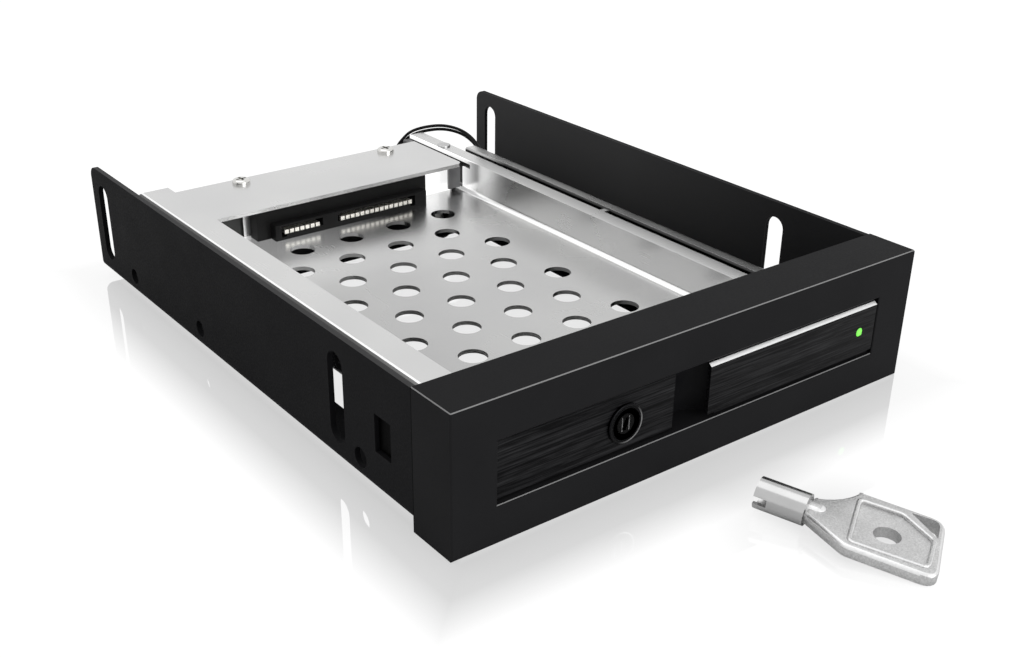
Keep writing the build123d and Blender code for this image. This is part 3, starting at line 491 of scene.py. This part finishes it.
def smooth_plastic(name, low, high, rough, specular=0.4):
    """Moulded plastic of small parts, slightly uneven."""
    finish = Finish(name, specular=specular)
    clouds = finish.noise(grain=3, detail=3)
    grain = finish.noise(grain=0.15)
    finish.set(
        base_color=finish.blend(clouds, low, high),
        roughness=finish.span(grain + clouds * 0.5, (0.4, 1), (rough * 0.85, rough * 1.2)),
    )
    return finish.bump(grain, depth=0.004)


LAMP_CENTRE = (37.95, 0, 12.3)


def lit_green(name, strength):
    """Green light pipe, brighter in its middle."""
    finish = smooth_plastic(name, (0.05, 0.4, 0.03), (0.12, 0.6, 0.06), rough=0.2)
    glow = finish.span(finish.off_centre(LAMP_CENTRE, along_y=True), (0.2, 0.85), (1, 0.45))
    return finish.set(
        emission_color=finish.blend(glow, (0.02, 0.3, 0.01), (0.3, 0.95, 0.12)),
        emission_strength=strength,
    )


# One finish for each material slot in the record
FINISHES = {
    "black_coat": powder_coat(),
    "bezel_plastic": moulded_black(),
    "door_plastic": smooth_plastic(
        "door_black", (0.005, 0.005, 0.006), (0.009, 0.009, 0.01), rough=0.4, specular=0.1
    ),
    "pin_steel": turned_metal("pin_steel", grey(0.45), grey(0.6), rough=0.3),
    "black_brushed": brushed_black(),
    "pipe_green": lit_green("pipe_green", strength=0.8),
    "lamp_green": lit_green("lamp_green", strength=1.0),
    "lock_nickel": lock_metal("lock_black_nickel", (0.01, 0.01, 0.011), grey(0.02), lit_rim),
    "core_steel": lock_metal("core_black_nickel", grey(0.012), grey(0.03), lit_slot),
    "screw_nickel": turned_metal("screw_nickel", (0.6, 0.6, 0.58), (0.75, 0.74, 0.72), rough=0.16),
    "tray_steel": sheet_steel(),
    "guide_plastic": smooth_plastic(
        "guide_black", (0.01, 0.01, 0.011), grey(0.02), rough=0.4, specular=0.3
    ),
    "rod_steel": turned_metal("rod_dull_zinc", (0.12, 0.12, 0.125), grey(0.2), rough=0.38),
    "board_black": smooth_plastic(
        "board_lacquer", (0.006, 0.007, 0.006), (0.01, 0.012, 0.01), rough=0.3
    ),
    "socket_plastic": smooth_plastic(
        "socket_black", grey(0.008), grey(0.014), rough=0.4, specular=0.12
    ),
    "plug_plastic": smooth_plastic("plug_cream", (0.5, 0.48, 0.4), (0.6, 0.57, 0.5), rough=0.45),
    "contact_gold": turned_metal(
        "contact_pale_gold", (0.93, 0.9, 0.82), (0.98, 0.96, 0.9), rough=0.45
    ),
    "lead_skin": smooth_plastic("lead_skin", grey(0.004), grey(0.008), rough=0.4, specular=0.08),
    "key_cast": cast_metal(),
    "key_polished": turned_metal("key_polished", grey(0.44), grey(0.56), rough=0.19, depth=0.001),
}


def dress_nodes():
    """Gives every CAD node the finish that its slot names."""
    for part in frame["record"]["subparts"]:
        node = nodes[part["node"]]
        finish = FINISHES[part["material_slot"]]
        if not node.data.materials:
            node.data.materials.append(finish.material)
        for index in range(len(node.data.materials)):
            node.data.materials[index] = finish.material


# Route of the lower lead, from its plug to the lamp; the upper one runs a step away
LEAD_ROUTE = (
    (22.2, 116.0, 5.7), (22.3, 119.6, 6.0), (23.4, 124.6, 7.2), (25.8, 129.0, 9.4),
    (28.7, 131.3, 12.0), (31.0, 131.7, 13.6), (32.9, 131.7, 14.8), (36.5, 131.2, 15.45),
    (40.85, 129.0, 15.8), (43.5, 125.0, 15.2), (43.65, 120.0, 14.2), (42.5, 115.0, 12.6),
    (41.4, 109.0, 9.4), (41.0, 100.0, 6.2), (40.9, 84.0, 4.6), (41.1, 54.0, 4.5),
    (40.9, 30.0, 4.8), (40.7, 18.0, 6.0), (39.9, 12.6, 8.2), (38.9, 9.2, 10.3),
    (37.9, 6.9, 11.4), (37.6, 4.72, 11.75),
)
LEAD_STEP = (-0.2, 0.0, 0.96)
LEAD_DIAMETER = 0.75


def lamp_lead(name, node, step):
    """A thin lead that hangs in one smooth line from its plug to the lamp."""
    data = bpy.data.curves.new(name, "CURVE")
    data.dimensions = "3D"
    data.bevel_depth = LEAD_DIAMETER / 2 * MM
    data.bevel_resolution = 3
    data.resolution_u = 8
    data.use_fill_caps = True
    places = [mm(*place) + mm(*step) for place in LEAD_ROUTE]
    spline = data.splines.new("NURBS")
    spline.points.add(len(places) - 1)
    for point, place in zip(spline.points, places):
        point.co = (*place, 1)
    spline.order_u = 3
    spline.use_endpoint_u = True
    data.materials.append(FINISHES["lead_skin"].material)
    lead = bpy.data.objects.new(name, data)
    link(lead)
    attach(lead, "chassis")
    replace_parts(lead, node)


# Key: the tip of its barrel, and how it lies
KEY_TIP = (-4.05, -21.33, 3.181)
KEY_TURN = math.radians(-68)
KEY_TILT = math.radians(4.066)

# Bow: corners as along, across and how much of each is rounded, counted from the barrel's tip
BOW_OUTLINE = (
    (8.0, 2.5, 0), (12.2, 4.3, 4.2), (13.45, 8.4, 0), (26.8, 8.5, 2.4),
    (29.5, -6.6, 2.6), (15.6, -6.8, 0.8), (8.0, -2.3, 0),
)
BOW_WINDOW = ((21.7, 7.4, 0.2), (26.1, 7.7, 1.6), (26.9, 3.1, 0.2))
BOW_PANEL = ((14.0, 6.1, 0.9), (20.8, 6.4, 0.5), (26.6, 2.4, 0.5), (27.5, -4.8, 0.9), (15.9, -5.4, 0.9))
RIM_PATH = ((14.0, 6.1, 0.9), (20.8, 6.4, 0.7), (26.6, 2.4, 0.7), (27.5, -4.8, 1.1), (15.9, -5.4, 0.9))
RIM_RADIUS = 0.42
RIM_HEIGHT = 1.0
BOW_HOLE = (20.25, -0.2)
BOW_HOLE_RADIUS = 2.1

# Bow: heights over the key's axis, with how far its edge is drawn in at each
BOW_FOOT = -1.1
BOW_TOP = 1.1
PANEL_FLOOR = 0.8
BOW_LEVELS = (
    (BOW_FOOT, 0.3), (-0.8, 0), (0.5, 0), (0.72, 0.07), (0.93, 0.25), (1.05, 0.45), (BOW_TOP, 0.65),
)

# Boss: places along the key, with its radius at each
BOSS_PROFILE = (
    (7.9, 1.6), (9.4, 1.6), (10.0, 1.5), (10.5, 1.25), (10.85, 0.85), (11.0, 0.4), (11.04, 0.02),
)
BOSS_SIDES = 32
SHARP_EDGE = math.radians(50)


def on_key(along, across, above):
    """A point counted from the tip of the key's barrel, along its axis, across and above it."""
    lying = Matrix.Rotation(KEY_TURN, 3, "Z") @ Matrix.Rotation(KEY_TILT, 3, "Y")
    return mm(*KEY_TIP) + lying @ mm(along, across, above)


def neighbours(items):
    """Each item of a closed row with the one before it and the one after it."""
    return zip(items[-1:] + items[:-1], items, items[1:] + items[:1])


def circle(radius, count):
    """Points evenly round a circle."""
    turns = [2 * math.pi * step / count for step in range(count)]
    return [Vector((radius * math.cos(turn), radius * math.sin(turn))) for turn in turns]


def rounded(corners, steps=6):
    """A closed outline with its corners rounded."""
    points = []
    for before, corner, after in neighbours(corners):
        middle = Vector(corner[:2])
        start = middle + (Vector(before[:2]) - middle).normalized() * corner[2]
        end = middle + (Vector(after[:2]) - middle).normalized() * corner[2]
        count = steps if corner[2] else 0
        for step in range(count + 1):
            part = step / steps
            points.append(start.lerp(middle, part).lerp(middle.lerp(end, part), part))
    return points


def key_ring(bm, points, above, inset=0):
    """A ring of edges along a clockwise outline, drawn in, at a height over the key's axis."""
    ring = []
    for before, point, after in neighbours(points):
        ahead = (after - before).normalized()
        place = point + Vector((ahead.y, -ahead.x)) * inset
        ring.append(bm.verts.new(on_key(place.x, place.y, above)))
    return [bm.edges.new(pair) for pair in zip(ring, ring[1:] + ring[:1])]


def key_wall(bm, rings):
    """Walls that join each ring to the next."""
    for ring, following in zip(rings, rings[1:]):
        bmesh.ops.bridge_loops(bm, edges=ring + following)


def key_sheet(bm, rings):
    """A flat face inside the first ring, open inside the others."""
    edges = [edge for ring in rings for edge in ring]
    up = (on_key(0, 0, 1) - on_key(0, 0, 0)).normalized()
    bmesh.ops.triangle_fill(bm, use_beauty=True, edges=edges, normal=up)


def key_piece(name, bm):
    """Makes a cast piece that belongs to the key."""
    bmesh.ops.recalc_face_normals(bm, faces=bm.faces)
    for face in bm.faces:
        face.smooth = True
    for edge in bm.edges:
        if len(edge.link_faces) == 2 and edge.calc_face_angle() > SHARP_EDGE:
            edge.smooth = False
    data = bpy.data.meshes.new(name)
    bm.to_mesh(data)
    bm.free()
    piece = bpy.data.objects.new(name, data)
    link(piece)
    data.materials.append(FINISHES["key_cast"].material)
    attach(piece, "key")
    return piece


def key_bow():
    """The bow: a plate with rounded edges, a sunk panel, a round hole and a window in its corner."""
    window = rounded(BOW_WINDOW)
    panel = rounded(BOW_PANEL)
    hole = [Vector(BOW_HOLE) + Vector((point.x, -point.y)) for point in circle(BOW_HOLE_RADIUS, 40)]
    bm = bmesh.new()
    outline = rounded(BOW_OUTLINE)
    plate = [key_ring(bm, outline, above, inset) for above, inset in BOW_LEVELS]
    opening = [key_ring(bm, window, above) for above in (BOW_FOOT, BOW_TOP)]
    sunk = [key_ring(bm, panel, above) for above in (PANEL_FLOOR, BOW_TOP)]
    bore = [key_ring(bm, hole, above) for above in (BOW_FOOT, PANEL_FLOOR)]
    for rings in (plate, opening, sunk, bore):
        key_wall(bm, rings)
    key_sheet(bm, (plate[-1], opening[1], sunk[1]))
    key_sheet(bm, (sunk[0], bore[1]))
    key_sheet(bm, (plate[0], opening[0], bore[0]))
    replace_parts(key_piece("key_bow_cast", bm), "key_bow")


def key_rim():
    """The round ridge cast along the panel's edge."""
    bm = bmesh.new()
    path = rounded(RIM_PATH)
    rings = [key_ring(bm, path, RIM_HEIGHT + side.y, side.x) for side in circle(RIM_RADIUS, 12)]
    key_wall(bm, rings + rings[:1])
    key_piece("key_rim", bm)


def key_boss():
    """The boss where the bow meets the barrel, turned about the key's axis, with a round end."""
    bm = bmesh.new()
    points = [bm.verts.new(on_key(along, radius, 0)) for along, radius in BOSS_PROFILE]
    profile = [bm.edges.new(pair) for pair in zip(points, points[1:])]
    axis = (on_key(1, 0, 0) - on_key(0, 0, 0)).normalized()
    bmesh.ops.spin(
        bm, geom=points + profile, cent=on_key(0, 0, 0), axis=axis,
        angle=2 * math.pi, steps=BOSS_SIDES, use_merge=True,
    )
    key_piece("key_boss", bm)


# Surroundings: their strength for the camera and mirrors, and for all other light
WORLD_SEEN = 1.0
WORLD_LIGHT = 0.55


def white_studio():
    """White surroundings that light the object less than they shine in it."""
    world = bpy.data.worlds.new("studio")
    bpy.context.scene.world = world
    world.use_nodes = True
    sky = Network(world.node_tree)
    light_path = sky.node("ShaderNodeLightPath")
    camera_ray = Value(sky, light_path.outputs["Is Camera Ray"])
    glossy_ray = Value(sky, light_path.outputs["Is Glossy Ray"])
    seen = camera_ray.highest(glossy_ray)
    background = sky.tree.nodes["Background"]
    sky.feed(background.inputs["Color"], grey(1))
    sky.feed(background.inputs["Strength"], sky.span(seen, (0, 1), (WORLD_LIGHT, WORLD_SEEN)))


def soft_box(name, place, aim, width, depth, power):
    """A rectangular studio lamp, its places and sizes in metres."""
    data = bpy.data.lights.new(name, "AREA")
    data.shape = "RECTANGLE"
    data.size = width
    data.size_y = depth
    data.energy = power
    lamp = bpy.data.objects.new(name, data)
    lamp.location = place
    lamp.rotation_mode = "QUATERNION"
    lamp.rotation_quaternion = (Vector(aim) - Vector(place)).to_track_quat("-Z", "Y")
    link(lamp)


# Table: how far it reaches in metres, how far it lies under the object, and its light
TABLE_REACH = 3
TABLE_DROP = 0.03
TABLE_GLOW = 1.15
TABLE_GLOW_SHARE = 0.8
TABLE_GLOSS = 0.012

# The object's footprint on the table, and where the key lies
FOOTPRINT_CENTRE = (0, 60, 0)
FOOTPRINT_HALF = (50, 66)
KEY_CENTRE = (1, -34, 0)


def glossy_table():
    """White table top, lit from below, that mirrors the object faintly close to it."""
    bm = bmesh.new()
    bmesh.ops.create_grid(
        bm, x_segments=1, y_segments=1, size=TABLE_REACH,
        matrix=Matrix.Translation(mm(0, 0, -TABLE_DROP)),
    )
    data = bpy.data.meshes.new("table_top")
    bm.to_mesh(data)
    bm.free()
    table = bpy.data.objects.new("table_top", data)
    link(table)

    finish = Finish("table_white", base_color=grey(0.9), roughness=0.6, specular=0.0)
    x, y, z = finish.axes(FOOTPRINT_CENTRE)
    outside = (abs(x) - FOOTPRINT_HALF[0]).highest(abs(y) - FOOTPRINT_HALF[1])
    falling = finish.span(outside, (6, 14.5), (0.33, 0)) + finish.span(outside, (0, 6), (0.05, 0))
    under = finish.span(outside, (-5, 0), (0.4, 1))
    near_key = finish.span(finish.off_centre(KEY_CENTRE), (6, 22), (0.2, 0))
    share = falling * under + near_key

    mirror = finish.node("ShaderNodeBsdfAnisotropic", inputs={"Roughness": TABLE_GLOSS})
    glow = finish.node("ShaderNodeEmission", inputs={"Color": grey(1), "Strength": TABLE_GLOW})
    light_path = finish.node("ShaderNodeLightPath")
    camera_ray = Value(finish, light_path.outputs["Is Camera Ray"])
    lit = finish.node(
        "ShaderNodeMixShader",
        inputs={0: camera_ray * TABLE_GLOW_SHARE, 1: finish.shader.outputs[0], 2: glow.outputs[0]},
    )
    mixed = finish.node(
        "ShaderNodeMixShader",
        inputs={0: share * camera_ray, 1: lit.outputs[0], 2: mirror.outputs[0]},
    )
    finish.feed(finish.output.inputs["Surface"], mixed.outputs[0])
    data.materials.append(finish.material)


place_camera()
dress_nodes()
lamp_lead("lead_lower", "lamp_lead_a", (0, 0, 0))
lamp_lead("lead_upper", "lamp_lead_b", LEAD_STEP)
key_bow()
key_rim()
key_boss()
white_studio()
glossy_table()
soft_box("overhead", place=(-0.1, 0.25, 0.7), aim=(0, 0.05, 0), width=0.7, depth=0.7, power=1.2)
soft_box("front_fill", place=(0.08, -0.7, 0.25), aim=(0, 0, 0.01), width=0.5, depth=0.4, power=2.0)
bpy.context.scene.view_settings.view_transform = "Standard"
